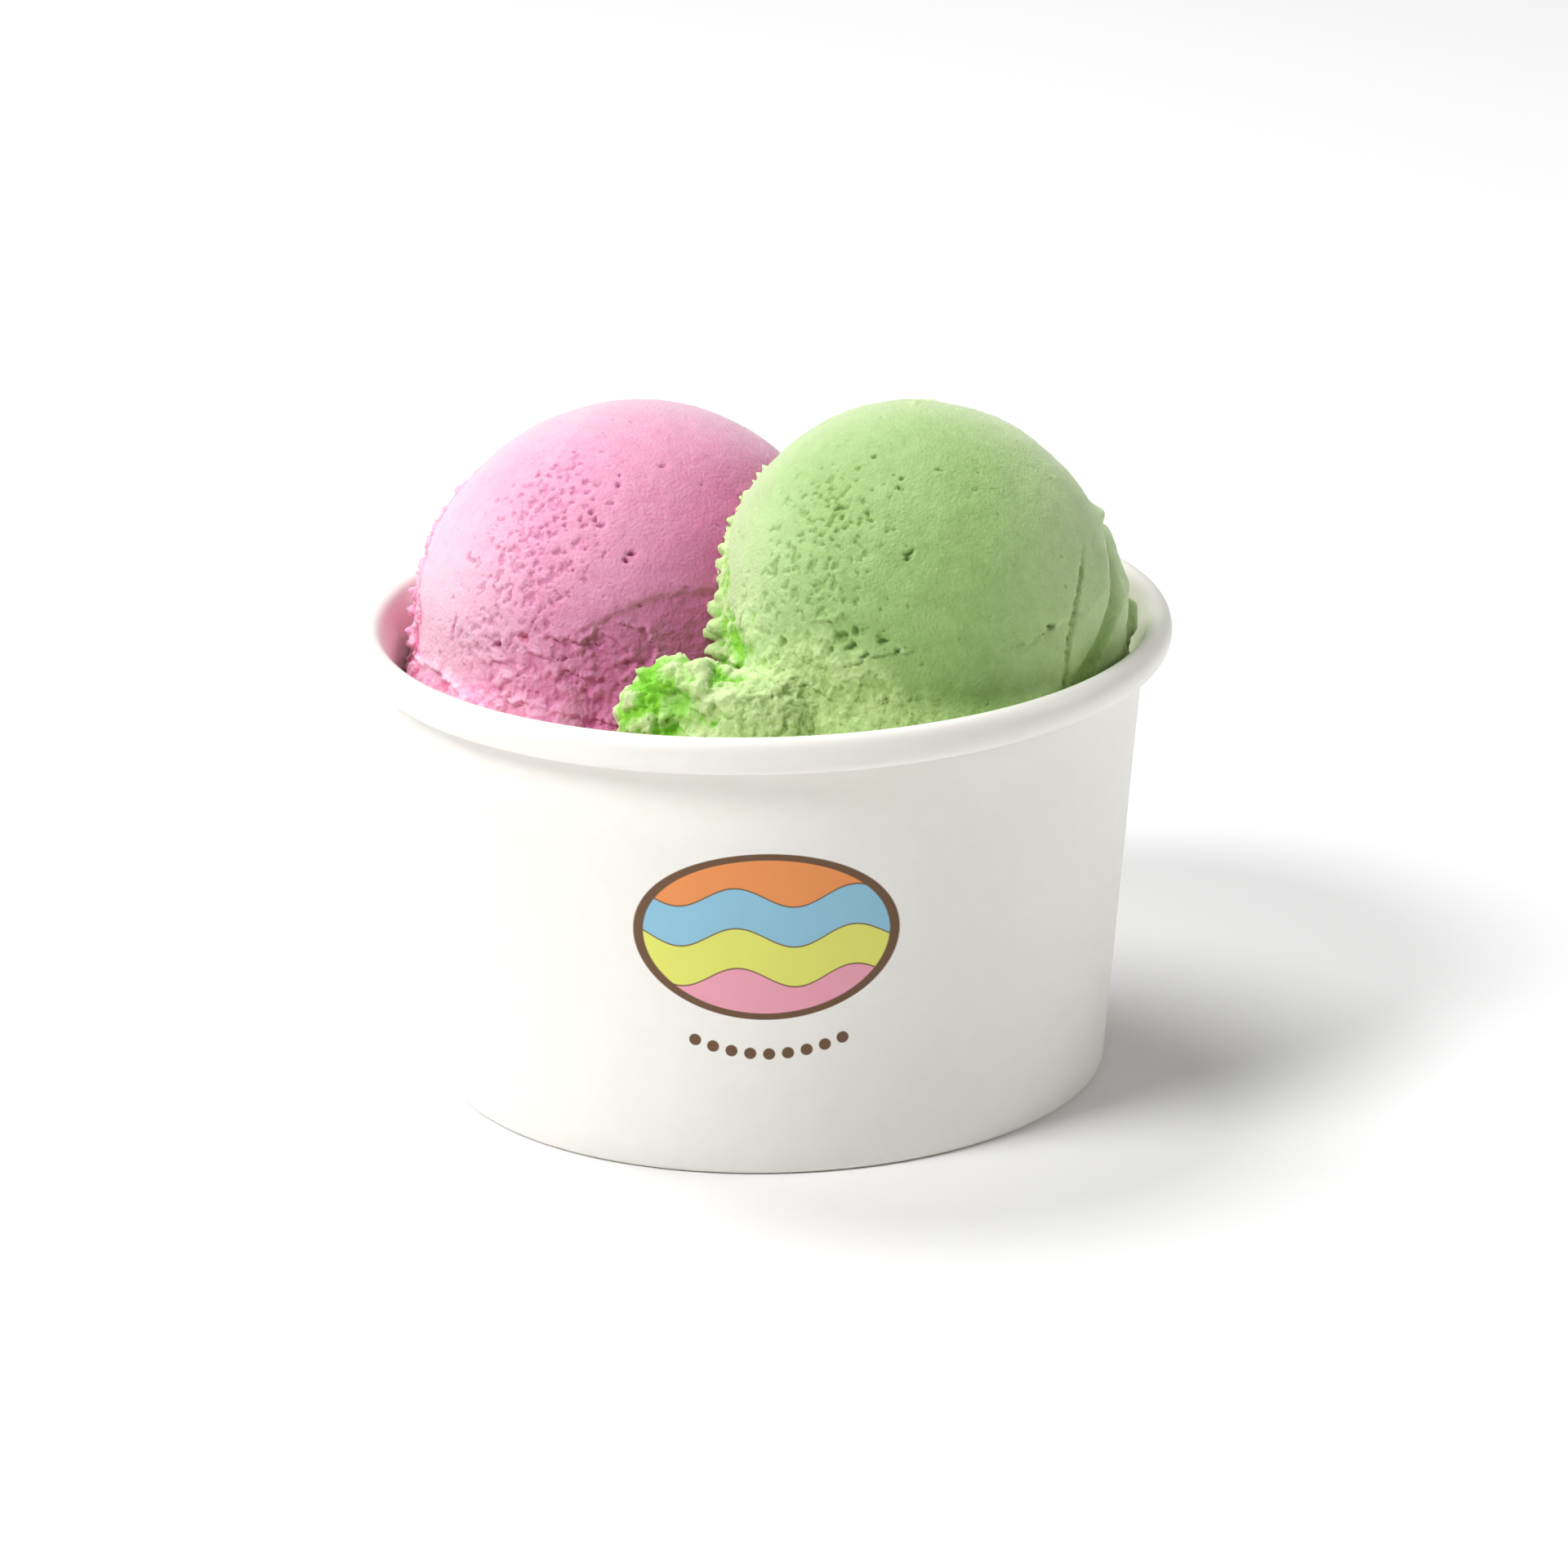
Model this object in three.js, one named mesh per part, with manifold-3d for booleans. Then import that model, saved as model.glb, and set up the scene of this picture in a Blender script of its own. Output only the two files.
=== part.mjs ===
// A paper cup of gelato with two scoops, a pink one and a green one that leans on it.
// Millimetres, +Z up. The origin is the centre of the ring that the cup stands on.

import * as THREE from 'three';
import { ImprovedNoise } from 'three/addons/math/ImprovedNoise.js';
import { mergeVertices } from 'three/addons/utils/BufferGeometryUtils.js';
import Module from 'manifold-3d';

const wasm = await Module();
wasm.setup();

// The cup: a cone of paper with a rolled rim, on a recessed base disc.
const CUP_HEIGHT = 55;
const RIM_RADIUS = 47.5;
const ROLL_WIDTH = 3;
const ROLL_HEIGHT = 4.3;
const WALL_TOP_RADIUS = 44.2;
const BASE_RADIUS = 39;
const PAPER = 0.5;
const BASE_RISE = 7;
const SKIRT_LENGTH = 5.6;
const FOLD = 0.25;
const GAP = 0.3;
const CUP_SIDES = 48;

// The scoops: the middle and the radius of each, how high its dome rises above the middle,
// how far down its foot reaches, and the part of the radius that the foot flares out by.
// Both domes are a little slimmer near the top and fuller at the shoulder than an even ball.
const PINK = { centre: [-15, 8, 51], radius: 26.5, rise: 27, foot: 14, flare: 0.05, seed: 3.7 };
const GREEN = { centre: [17.4, -10, 57], radius: 23.8, rise: 25.6, foot: 20, flare: 0.07, seed: 8.2 };
const SHOULDER = 0.012;
const FILL_LEVEL = 43.5;
const BALL_STEPS = 8;
const LUMP_STEPS = 2;

const noise = new ImprovedNoise();

// ---------------------------------------------------------------- shared shape tools

// A closed solid from a geometry: corners merged, and the empty triangles at an axis dropped.
function toSolid(geometry) {
  geometry.deleteAttribute('normal');
  geometry.deleteAttribute('uv');
  const merged = mergeVertices(geometry, 1e-4);
  const corners = merged.index.array;
  const triangles = [];
  for (let i = 0; i < corners.length; i += 3) {
    const [a, b, c] = corners.subarray(i, i + 3);
    if (a !== b && b !== c && c !== a) triangles.push(a, b, c);
  }
  const mesh = new wasm.Mesh({
    numProp: 3,
    vertProperties: merged.attributes.position.array,
    triVerts: new Uint32Array(triangles),
  });
  return new wasm.Manifold(mesh);
}

function toGeometry(solid) {
  const { vertProperties, triVerts } = solid.getMesh();
  const geometry = new THREE.BufferGeometry();
  geometry.setAttribute('position', new THREE.BufferAttribute(vertProperties, 3));
  geometry.setIndex(new THREE.BufferAttribute(triVerts, 1));
  geometry.computeVertexNormals();
  return geometry;
}

// The largest body of a cut solid, without bubbles shut inside it or loose chips beside it.
function oneBody(solid) {
  return solid.decompose().reduce((best, next) => (next.volume() > best.volume() ? next : best));
}

// Turns a profile of [radius, height] points, listed anticlockwise, about the Z axis.
function turned(profile) {
  const points = profile.map(([radius, height]) => new THREE.Vector2(radius, height));
  return new THREE.LatheGeometry(points, CUP_SIDES).rotateX(Math.PI / 2);
}

// The outline of a strip of paper: its middle line moved half a thickness to each side.
function stripOutline(middle) {
  const normals = middle.map((point, i) => {
    const before = middle[Math.max(i - 1, 0)];
    const after = middle[Math.min(i + 1, middle.length - 1)];
    const length = Math.hypot(after[0] - before[0], after[1] - before[1]);
    return [(after[1] - before[1]) / length, (before[0] - after[0]) / length];
  });
  const side = (offset) => middle.map(([r, z], i) => [r + offset * normals[i][0], z + offset * normals[i][1]]);
  const right = side(PAPER / 2);
  const left = side(-PAPER / 2).reverse();
  return [...right, ...left, right[0]];
}

// ---------------------------------------------------------------- the paper cup

const ROLL_START = 150;
const ROLL_END = -115;
const ROLL_PIECES = 9;
const wallSlope = (WALL_TOP_RADIUS - BASE_RADIUS) / (CUP_HEIGHT - ROLL_HEIGHT);
const wallRadius = (z) => BASE_RADIUS + wallSlope * z;

// The sidewall is one strip: its hem stands inside the base's skirt, folds out under the
// skirt's edge, goes up as the wall and rolls outwards and down into the rim.
function sidewall() {
  const hemOffset = 2 * PAPER + 2 * GAP;
  const wallMiddle = (z) => wallRadius(z) - PAPER / 2;
  const hemMiddle = (z) => wallMiddle(z) - hemOffset;
  const rollMiddle = [RIM_RADIUS - ROLL_WIDTH / 2, CUP_HEIGHT - ROLL_HEIGHT / 2];
  const middle = [
    [hemMiddle(SKIRT_LENGTH), SKIRT_LENGTH],
    [hemMiddle(FOLD * 2), FOLD * 2],
    [hemMiddle(FOLD) + FOLD, FOLD],
    [wallMiddle(FOLD) - FOLD, FOLD],
    [wallMiddle(FOLD * 2), FOLD * 2],
    [wallMiddle(CUP_HEIGHT - ROLL_HEIGHT), CUP_HEIGHT - ROLL_HEIGHT],
    [wallMiddle(rollMiddle[1]) + FOLD, rollMiddle[1] - FOLD],
  ];
  for (let i = 0; i <= ROLL_PIECES; i++) {
    const angle = THREE.MathUtils.degToRad(ROLL_START + (ROLL_END - ROLL_START) * (i / ROLL_PIECES));
    middle.push([
      rollMiddle[0] + ((ROLL_WIDTH - PAPER) / 2) * Math.cos(angle),
      rollMiddle[1] + ((ROLL_HEIGHT - PAPER) / 2) * Math.sin(angle),
    ]);
  }
  return toSolid(turned(stripOutline(middle)));
}

// The base is a disc with its edge turned down, held between the wall and the hem.
function baseDisc() {
  const top = BASE_RISE + PAPER;
  const bottom = BASE_RISE + PAPER - SKIRT_LENGTH;
  const outer = (z) => wallRadius(z) - PAPER - GAP;
  const inner = (z) => outer(z) - PAPER;
  return toSolid(turned([
    [0, BASE_RISE],
    [inner(BASE_RISE) - FOLD, BASE_RISE],
    [inner(BASE_RISE - FOLD), BASE_RISE - FOLD],
    [inner(bottom), bottom],
    [outer(bottom), bottom],
    [outer(top - FOLD), top - FOLD],
    [outer(top) - FOLD, top],
    [0, top],
  ]));
}

// ---------------------------------------------------------------- the gelato

const CLEAR_TOP = 90;
const ripple = (x, y, z, scale, seed) => noise.noise(x / scale + seed, y / scale + seed, z / scale + seed);

// Moves every corner of a unit ball out to reach(direction) and places it.
function starShape(steps, centre, reach) {
  const ball = new THREE.IcosahedronGeometry(1, steps);
  const corners = ball.attributes.position;
  const direction = new THREE.Vector3();
  for (let i = 0; i < corners.count; i++) {
    direction.fromBufferAttribute(corners, i).normalize();
    const away = reach(direction);
    const [x, y, z] = [direction.x * away, direction.y * away, direction.z * away];
    corners.setXYZ(i, centre[0] + x, centre[1] + y, centre[2] + z);
  }
  return toSolid(ball);
}

// A scoop is a dome, and below its middle a foot that flares with a torn edge.
function scoopBody({ centre, radius, rise, foot, flare, seed }, grow, features) {
  return starShape(BALL_STEPS, centre, (d) => {
    const below = THREE.MathUtils.smoothstep(-d.z, 0, 0.35);
    const torn = ripple(d.x * radius, d.y * radius, d.z * radius, 5, seed);
    const swell = ripple(d.x * radius, d.y * radius, d.z * radius, 16, seed);
    const shoulder = 1 + SHOULDER * Math.sin(2 * Math.PI * d.z);
    const dome = shoulder / Math.hypot(d.x / radius, d.y / radius, d.z / rise) + 0.5 * swell;
    const across = (radius * (1 + flare * below) + 0.5 * swell + 1.6 * below * torn) / Math.hypot(d.x, d.y);
    const down = foot / Math.max(-d.z, 0.01);
    const reach = d.z < 0 ? Math.min(across, down) : dome;
    return reach + features(d) + grow;
  });
}

function lump([x, y, z, across, deep, high], grow, seed) {
  return starShape(LUMP_STEPS, [x, y, z], (d) => {
    const round = 1 / Math.hypot(d.x / across, d.y / deep, d.z / high);
    return round * (1 + 0.35 * ripple(d.x * across, d.y * deep, d.z * high, 3.5, seed + x)) + grow;
  });
}

// A soft spot on a ball: 1 at its middle, 0 past its width, which is in radians.
const spot = (d, towards, width) => 1 - THREE.MathUtils.smoothstep(d.angleTo(towards), width * 0.75, width);
const facing = (x, y, z) => new THREE.Vector3(x, y, z).normalize();

// The pink scoop has one broad hollow with a sharp lip, where the scooping tool slid off.
const HOLLOW = { towards: facing(0.28, -0.86, 0.05), width: 0.62, depth: 1.1 };
const pinkFeatures = (d) => -HOLLOW.depth * spot(d, HOLLOW.towards, HOLLOW.width);

// The green scoop has upright grooves on its right, between the ball and an outer ridge.
const GROOVES = [
  { towards: facing(0.93, -0.3, 0.1), depth: 1.2 },
  { towards: facing(0.96, 0.12, 0.12), depth: 1.4 },
];
const GROOVE_WIDTH = 0.16;
function greenFeatures(d) {
  const upright = THREE.MathUtils.smoothstep(0.62 - d.z, 0, 0.3);
  const azimuth = Math.atan2(d.y, d.x);
  return GROOVES.reduce((sum, { towards, depth }) => {
    const turn = (azimuth - Math.atan2(towards.y, towards.x)) / GROOVE_WIDTH;
    return sum - depth * upright * Math.exp(-turn * turn);
  }, 0);
}

// Lumps torn out of the green scoop: x, y, z of the middle, then half the size along x, y, z.
// The first five are the crumbly tongue at the front left, then the ridge and chip on the right.
const GREEN_LUMPS = [
  [-10, -27, 44, 8, 6, 7],
  [-12.6, -26, 50.8, 5, 5, 5.6],
  [-7, -27, 53, 5, 5, 5.2],
  [-10.8, -25.5, 54.6, 4.6, 4, 3.4],
  [-1, -29.5, 50, 7, 5, 7],
  [37.8, -3, 52, 4.4, 12, 11],
  [42.2, -3, 53, 2, 2.4, 2.2],
];

// Lumps of the pink scoop's torn foot, along the wall at its left.
const PINK_LUMPS = [
  [-38, 2, 46, 5, 8, 5],
  [-33, -9, 45, 5.5, 7, 5],
  [-24, -16, 43.5, 7, 5, 5],
];

// What the cup holds: the room inside its wall and rim, a gap clear of the paper.
function room() {
  const floor = BASE_RISE + PAPER + GAP;
  const inner = (z) => wallRadius(z) - PAPER - GAP;
  const neck = CUP_HEIGHT - ROLL_HEIGHT;
  return [[0, floor], [inner(floor), floor], [inner(neck), neck], [inner(neck), CLEAR_TOP], [0, CLEAR_TOP]];
}

// The packed gelato below the scoops, filled to an uneven level.
function packedFill() {
  const floor = BASE_RISE + PAPER + GAP;
  const inner = (z) => wallRadius(z) - PAPER - GAP;
  const rings = [0.8, 0.6, 0.4, 0.2].map((part) => [inner(FILL_LEVEL) * part, FILL_LEVEL]);
  const shape = turned([
    [0, floor],
    [inner(floor), floor],
    [inner(FILL_LEVEL), FILL_LEVEL],
    ...rings,
    [0, FILL_LEVEL],
  ]);
  const corners = shape.attributes.position;
  for (let i = 0; i < corners.count; i++) {
    const [x, y, z] = [corners.getX(i), corners.getY(i), corners.getZ(i)];
    if (z > floor + 1) corners.setZ(i, z + 2.2 * ripple(x, y, 0, 9, 1.3) - 0.6);
  }
  return toSolid(shape);
}

// The scoops share the cup along the flat where two balls of their sizes would cross.
const pinkMiddle = new THREE.Vector3(...PINK.centre);
const towardsGreen = new THREE.Vector3(...GREEN.centre).sub(pinkMiddle);
const apart = towardsGreen.length();
const crossing = (apart ** 2 + PINK.radius ** 2 - GREEN.radius ** 2) / (2 * apart);
towardsGreen.normalize();

// A large block on one side of that flat, half a gap clear of it: side is 1 for green.
function halfSpace(side) {
  const size = 4 * RIM_RADIUS;
  const away = crossing + side * (size / 2 + GAP / 2);
  const block = new THREE.BoxGeometry(size, size, size);
  const turn = new THREE.Quaternion().setFromUnitVectors(new THREE.Vector3(0, 0, 1), towardsGreen);
  const middle = pinkMiddle.clone().addScaledVector(towardsGreen, away);
  block.applyMatrix4(new THREE.Matrix4().compose(middle, turn, new THREE.Vector3(1, 1, 1)));
  return toSolid(block);
}

// The green scoop keeps its full round. Grown by a gap, it is what the pink one is dented by.
function greenAboveFill(grow) {
  return GREEN_LUMPS.reduce(
    (whole, size) => whole.add(lump(size, grow, GREEN.seed)),
    scoopBody(GREEN, grow, greenFeatures),
  );
}

function greenScoop() {
  const fill = packedFill().intersect(halfSpace(1));
  return oneBody(greenAboveFill(0).add(fill).intersect(toSolid(turned(room()))));
}

function pinkScoop() {
  const body = PINK_LUMPS.reduce(
    (whole, size) => whole.add(lump(size, 0, PINK.seed)),
    scoopBody(PINK, 0, pinkFeatures).add(packedFill()),
  );
  const held = body.intersect(halfSpace(-1)).intersect(toSolid(turned(room())));
  return oneBody(held.subtract(greenAboveFill(GAP)));
}

// ---------------------------------------------------------------- the object

const WHITE_PAPER = { color: 0xf4f2ee, roughness: 0.55 };
const PINK_GELATO = { color: 0xf3b4cd, roughness: 0.6 };
const GREEN_GELATO = { color: 0xbcd79a, roughness: 0.6 };

function named(name, solid, look) {
  const mesh = new THREE.Mesh(toGeometry(solid), new THREE.MeshStandardMaterial({ ...look, metalness: 0 }));
  mesh.name = name;
  return mesh;
}

const cup = new THREE.Group();
cup.add(
  named('cup_sidewall', sidewall(), WHITE_PAPER),
  named('cup_base', baseDisc(), WHITE_PAPER),
);

const gelatoCup = new THREE.Group();
gelatoCup.add(
  cup,
  named('scoop_pink', pinkScoop(), PINK_GELATO),
  named('scoop_green', greenScoop(), GREEN_GELATO),
);

export default gelatoCup;
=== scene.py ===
import math

import bmesh
import bpy
import numpy as np
from mathutils import Matrix, Quaternion, Vector
from mathutils.bvhtree import BVHTree


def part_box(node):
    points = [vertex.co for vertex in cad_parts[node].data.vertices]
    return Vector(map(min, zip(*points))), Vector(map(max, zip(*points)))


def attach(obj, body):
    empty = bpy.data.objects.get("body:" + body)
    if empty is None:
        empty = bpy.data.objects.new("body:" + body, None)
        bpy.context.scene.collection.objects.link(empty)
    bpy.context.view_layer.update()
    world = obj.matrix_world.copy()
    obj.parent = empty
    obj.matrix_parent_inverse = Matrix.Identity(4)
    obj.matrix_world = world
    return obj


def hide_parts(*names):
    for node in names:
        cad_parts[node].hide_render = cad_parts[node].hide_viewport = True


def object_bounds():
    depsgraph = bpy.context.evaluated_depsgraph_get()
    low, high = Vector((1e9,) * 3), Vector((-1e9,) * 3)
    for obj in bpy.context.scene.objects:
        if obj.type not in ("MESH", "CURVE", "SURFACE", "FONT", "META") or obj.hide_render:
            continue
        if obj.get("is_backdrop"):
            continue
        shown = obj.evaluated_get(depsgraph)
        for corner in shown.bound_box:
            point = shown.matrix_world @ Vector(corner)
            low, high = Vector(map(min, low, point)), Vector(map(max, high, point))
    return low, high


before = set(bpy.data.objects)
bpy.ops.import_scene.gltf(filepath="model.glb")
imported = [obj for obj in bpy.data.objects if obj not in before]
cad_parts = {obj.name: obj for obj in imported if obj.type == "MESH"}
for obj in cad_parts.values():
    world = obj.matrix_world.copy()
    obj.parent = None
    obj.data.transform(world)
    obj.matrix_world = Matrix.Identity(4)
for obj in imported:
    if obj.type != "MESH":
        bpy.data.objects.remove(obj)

cad_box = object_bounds()
MM = 0.001

# Base disc. A round of coated cup board with its edge turned down into a skirt, which is
# glued between the sidewall and the sidewall's hem. It sits raised, so only its underside
# and the ring of the hem show from below. It is pressed slightly hollow in the middle.
PAPER = 0.5
GAP = 0.3
BASE_RADIUS = 39.0
ROLL_HEIGHT = 4.3
ROLL_WIDTH = 3.0
WALL_INSET = 3.3
DISH = 0.4
FOLD = 1.0
CROWN_STEPS = 8
FOLD_STEPS = 6
THICKENING_STEPS = 4
BASE_TURNS = 160
WHITE_BOARD = "#F7F4ED"
DULL_BOARD = "#F5F2EA"
MOTTLE_SIZE = 1000 / 350
CLOUD_SIZE = 1000 / 90
FIBRE_SIZE = 1000 / 2600


def srgb(code, alpha=1.0):
    """The linear colour of an sRGB hex code."""
    parts = [int(code[i:i + 2], 16) / 255 for i in (1, 3, 5)]
    linear = [p / 12.92 if p <= 0.04045 else ((p + 0.055) / 1.055) ** 2.4 for p in parts]
    return (*linear, alpha)


def per_metre(size):
    """The scale of a pattern with one patch or grain every size millimetres."""
    return 1 / (size * MM)


def add(material, kind, feeds=(), stops=(), **settings):
    """Adds one node. Settings set its properties or sockets by name, stops fill a colour ramp
    with (position, sRGB code), and each feed is a socket and the node, output or value for it."""
    tree = material.node_tree
    node = tree.nodes.new("ShaderNode" + kind)
    for key, value in settings.items():
        if hasattr(node, key):
            setattr(node, key, value)
        else:
            node.inputs[key.replace("_", " ")].default_value = value
    while stops and len(node.color_ramp.elements) < len(stops):
        node.color_ramp.elements.new(0.5)
    for k, (position, code) in enumerate(stops):
        node.color_ramp.elements[k].position = position
        node.color_ramp.elements[k].color = srgb(code)
    for socket, feed in feeds:
        if isinstance(feed, bpy.types.Node):
            tree.links.new(feed.outputs[0], node.inputs[socket])
        elif isinstance(feed, bpy.types.NodeSocket):
            tree.links.new(feed, node.inputs[socket])
        else:
            node.inputs[socket].default_value = feed
    return node


def new_material(name):
    """An empty node material, and the coordinates of its piece in metres."""
    material = bpy.data.materials.new(name)
    material.use_nodes = True
    material.node_tree.nodes.clear()
    return material, add(material, "TexCoord").outputs["Object"]


# Coated cup board: bleached fibre under a thin polythene film. The film gives the eye a soft
# satin gleam, and the fibre below it a faint cloudiness and a very shallow waviness. Single
# fibres are too fine to show, so they are drawn as tufts of about ten together.
def board_finish(material, place, colour):
    clouds = add(material, "TexNoise", [("Vector", place)], Scale=per_metre(CLOUD_SIZE), Detail=5.0)
    tufts = add(material, "TexNoise", [("Vector", place)], Scale=per_metre(FIBRE_SIZE), Detail=3.0)
    shade = add(material, "MapRange", [("Value", clouds)], To_Min=0.99, To_Max=1.0)
    tinted = add(material, "VectorMath", [(0, colour), ("Scale", shade)], operation="SCALE")
    gloss = add(material, "MapRange", [("Value", clouds)], To_Min=0.36, To_Max=0.46)
    wavy = add(material, "Bump", [("Height", clouds)], Strength=0.05, Distance=0.0004)
    rough = add(material, "Bump", [("Height", tufts), ("Normal", wavy)], Strength=0.10, Distance=0.00003)
    board = add(material, "BsdfPrincipled",
                [("Base Color", tinted), ("Roughness", gloss), ("Normal", rough)], IOR=1.45,
                Subsurface_Weight=0.25, Subsurface_Radius=(1.0, 0.95, 0.85), Subsurface_Scale=0.001)
    add(material, "OutputMaterial", [("Surface", board)])


def bare_board(material, place):
    """The colour of the board where it has no print."""
    mottle = add(material, "TexNoise", [("Vector", place)], Scale=per_metre(MOTTLE_SIZE), Detail=4.0)
    return add(material, "ValToRGB", [(0, mottle)], [(0.3, DULL_BOARD), (0.7, WHITE_BOARD)])


def plain_board():
    material, place = new_material("coated_cup_board")
    board_finish(material, place, bare_board(material, place))
    return material


def spin_outline(form, outline, steps, closed):
    """Turns an outline of (radius, height) points once round the Z axis."""
    verts = [form.verts.new((r, 0, z)) for r, z in outline]
    nexts = verts[1:] + verts[:1] * closed
    edges = [form.edges.new(pair) for pair in zip(verts, nexts)]
    bmesh.ops.spin(form, geom=verts + edges, cent=(0, 0, 0), axis=(0, 0, 1), dvec=(0, 0, 0),
                   angle=2 * math.pi, steps=steps, use_merge=True, use_duplicate=False)
    bmesh.ops.remove_doubles(form, verts=form.verts, dist=0.001)
    bmesh.ops.recalc_face_normals(form, faces=form.faces)


def new_piece(form, name):
    """An object with the form's mesh."""
    mesh = bpy.data.meshes.new(name)
    form.to_mesh(mesh)
    form.free()
    piece = bpy.data.objects.new(name, mesh)
    bpy.context.scene.collection.objects.link(piece)
    return piece


def finish(piece, material, node):
    """Scales a piece made in millimetres, gives it its material, and ties it to the frame."""
    mesh = piece.data
    mesh.transform(Matrix.Scale(MM, 4))
    mesh.materials.clear()
    mesh.materials.append(material)
    mesh.shade_smooth()
    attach(piece, "root")
    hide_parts(node)


base_low, base_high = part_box("cup_base")
wall_low, wall_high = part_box("cup_sidewall")
base_foot = base_low.z / MM
base_top = base_high.z / MM
CUP_HEIGHT = wall_high.z / MM
RIM_RADIUS = wall_high.x / MM
NECK = CUP_HEIGHT - ROLL_HEIGHT
SLOPE = (RIM_RADIUS - WALL_INSET - BASE_RADIUS) / NECK


def wall_radius(z):
    """The radius of the sidewall's outer face at height z."""
    return BASE_RADIUS + SLOPE * z


disc_edge = wall_radius(base_top) - PAPER - GAP
skirt_edge = wall_radius(base_foot) - PAPER - GAP
upper = []
for k in range(CROWN_STEPS + 1):
    part = k / CROWN_STEPS
    upper.append((0.9 * disc_edge * part, base_top - DISH * (1 - part ** 4)))
for k in range(FOLD_STEPS + 1):
    bend = math.radians(90 * k / FOLD_STEPS)
    upper.append((disc_edge - FOLD + FOLD * math.sin(bend), base_top - FOLD + FOLD * math.cos(bend)))
upper.append((skirt_edge, base_foot))
lower = []
for k, (r, z) in enumerate(upper):
    inwards = PAPER * min(max(k - CROWN_STEPS, 0) / THICKENING_STEPS, 1)
    downwards = PAPER if k < CROWN_STEPS + FOLD_STEPS + 1 else 0
    lower.append((r - inwards, z - downwards))
form = bmesh.new()
spin_outline(form, upper + lower[::-1], BASE_TURNS, closed=False)
base_disc = new_piece(form, "base_disc")
finish(base_disc, plain_board(), "cup_base")

# Sidewall. One blank of the same board, printed on its front, wrapped into a cone with a
# glued lap at the back, its lower edge folded in and up as a knurled hem, and its upper edge
# rolled outwards into the rim.
HEM_SHIFT = 2 * PAPER + 2 * GAP
HEM_HEIGHTS = (4.2, 2.8, 1.4, 0.8)
FOLD_MIDDLE = 0.62
FOLD_DEPTH = 0.37
WALL_TURNS = 480
SEAM_TURN = math.radians(62)
LAP_WIDTH = 9.6
LAP_EASE = 3.6
LAP_STEP = 0.28
CUT_WIDTH = 0.0035
KNURLS = 120
KNURL_DEPTH = 0.12


def strip(middle, thickness):
    """The outline of a strip of board round its middle line."""
    points = [Vector(p) for p in middle]
    sides = ([], [])
    for k, point in enumerate(points):
        along = points[min(k + 1, len(points) - 1)] - points[max(k - 1, 0)]
        across = Vector((along.y, -along.x)).normalized() * thickness / 2
        sides[0].append(point + across)
        sides[1].append(point - across)
    return [tuple(p) for p in sides[0] + sides[1][::-1]]


def wall_middle(z):
    """The radius of the middle of the sidewall's thickness at height z."""
    return wall_radius(z) - PAPER / 2


# The middle line of the board, from the top of the hem down round the fold, up the cone and
# over the roll.
skirt_length = (base_high.z - base_low.z) / MM
middle_line = [(wall_middle(z) - HEM_SHIFT, z) for z in (skirt_length, *HEM_HEIGHTS)]
for k in range(1, 10):
    bend = math.radians(18 * k)
    middle_line.append((wall_middle(0) - HEM_SHIFT / 2 * (1 + math.cos(bend)),
                        FOLD_MIDDLE - FOLD_DEPTH * math.sin(bend)))
middle_line += [(wall_middle(z), z) for z in np.linspace(0.8, NECK - 0.6, 18)]
roll_radius = RIM_RADIUS - ROLL_WIDTH / 2
roll_middle = CUP_HEIGHT - ROLL_HEIGHT / 2
middle_line.append((wall_middle(roll_middle - 1.5) + 0.08, roll_middle - 1.5))
middle_line.append((wall_middle(roll_middle) + 0.3, roll_middle - 0.3))
for k in range(23):
    bend = math.radians(150 - 265 * k / 22)
    middle_line.append((roll_radius + (ROLL_WIDTH - PAPER) / 2 * math.cos(bend),
                        roll_middle + (ROLL_HEIGHT - PAPER) / 2 * math.sin(bend)))
form = bmesh.new()
spin_outline(form, strip(middle_line, PAPER), WALL_TURNS, closed=True)

# The lap: the upper layer ends in a cut edge that stands proud, and eases back into the round
# on the other side. The hem is knurled on its inside by the tool that presses it.
for turn in (SEAM_TURN, SEAM_TURN + CUT_WIDTH):
    toward = Vector((math.cos(turn), math.sin(turn), 0))
    across = Vector((-toward.y, toward.x, 0))
    behind = [f for f in form.faces if f.calc_center_median().dot(toward) > 0]
    corners = {v for f in behind for v in f.verts}
    sides = {e for f in behind for e in f.edges}
    bmesh.ops.bisect_plane(form, geom=[*corners, *sides, *behind], plane_co=(0, 0, 0),
                           plane_no=across, dist=1e-6)
form.normal_update()
for v in form.verts:
    radius = math.hypot(v.co.x, v.co.y)
    turn = math.atan2(v.co.y, v.co.x)
    outward = Vector((v.co.x, v.co.y, 0)) / radius
    facing = v.normal.dot(outward)
    past_cut = math.remainder(turn - SEAM_TURN, 2 * math.pi) * radius
    if facing > 0.2 and radius > wall_radius(v.co.z) - 0.2 and -LAP_WIDTH < past_cut < 0.02:
        v.co += v.normal * LAP_STEP * min(1, (past_cut + LAP_WIDTH) / LAP_EASE)
    in_hem = 0.7 < v.co.z < skirt_length and radius < wall_radius(0) - HEM_SHIFT
    if in_hem and facing < -0.6:
        v.co += outward * KNURL_DEPTH * math.sin(KNURLS * turn)
sidewall = new_piece(form, "sidewall")

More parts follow.
